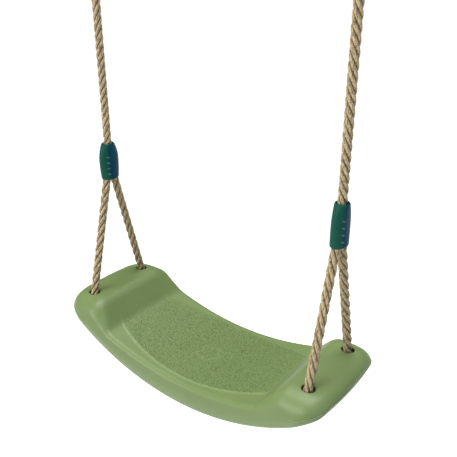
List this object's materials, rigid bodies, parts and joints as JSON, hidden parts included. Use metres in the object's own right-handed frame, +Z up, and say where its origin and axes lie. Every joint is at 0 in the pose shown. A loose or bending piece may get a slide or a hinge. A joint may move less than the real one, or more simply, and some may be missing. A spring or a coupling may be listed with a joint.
{
  "type": "rope swing seat",
  "caption": "Curved hollow plastic plank swing seat hung on two twisted ropes, each splitting into a V below a moulded sleeve and ending above in a thimble eye on a steel ring.",
  "frame": {"origin": "midway between the two hanging rings, at the height where the inside of each ring rests on its hook", "axes": "+X along the seat towards its right end, +Y from the seat's front edge to its back edge, +Z up"},
  "size_m": [0.4326, 0.1666, 0.6781],
  "materials": {
    "seat_plastic": "satin moulded green polyethylene with a fine leather grain on the sitting panel",
    "rope": "tan three-strand twisted synthetic hemp rope, fibrous",
    "fitting_plastic": "dark blue-green moulded plastic, satin gloss",
    "ferrule_metal": "plain crimped aluminium",
    "ring_steel": "bright zinc-plated welded steel"
  },
  "bodies": {
    "rings": {"left_ring": "ring_steel", "right_ring": "ring_steel"},
    "hangers": {"left_thimble": "fitting_plastic", "left_rope_eye": "rope", "left_upper_sleeve": "fitting_plastic", "left_upper_ferrule": "ferrule_metal", "right_thimble": "fitting_plastic", "right_rope_eye": "rope", "right_upper_sleeve": "fitting_plastic", "right_upper_ferrule": "ferrule_metal"},
    "left_line": {"left_rope": "rope", "left_lower_sleeve": "fitting_plastic", "left_lower_ferrule": "ferrule_metal"},
    "right_line": {"right_rope": "rope", "right_lower_sleeve": "fitting_plastic", "right_lower_ferrule": "ferrule_metal"},
    "seat": {"seat_shell": "seat_plastic"}
  },
  "joints": [
    {"name": "swing", "type": "hinge", "parent": "rings", "child": "hangers", "pos_m": [0, 0, -0.048], "axis": [1, 0, 0], "range_deg": [-60, 60]},
    {"name": "left_sway", "type": "hinge", "parent": "hangers", "child": "left_line", "pos_m": [-0.183, 0, -0.14745], "axis": [0, 1, 0], "range_deg": [-4, 4]},
    {"name": "right_sway", "type": "hinge", "parent": "hangers", "child": "right_line", "pos_m": [0.183, 0, -0.14745], "axis": [0, 1, 0], "range_deg": [-4, 4]},
    {"name": "seat_level", "type": "hinge", "parent": "left_line", "child": "seat", "pos_m": [-0.183, 0, -0.61465], "axis": [0, 1, 0], "range_deg": [-4, 4]}
  ],
  "couplings": [
    {"joint": "right_sway", "follows": "left_sway", "ratio": 1},
    {"joint": "seat_level", "follows": "left_sway", "ratio": -1}
  ]
}
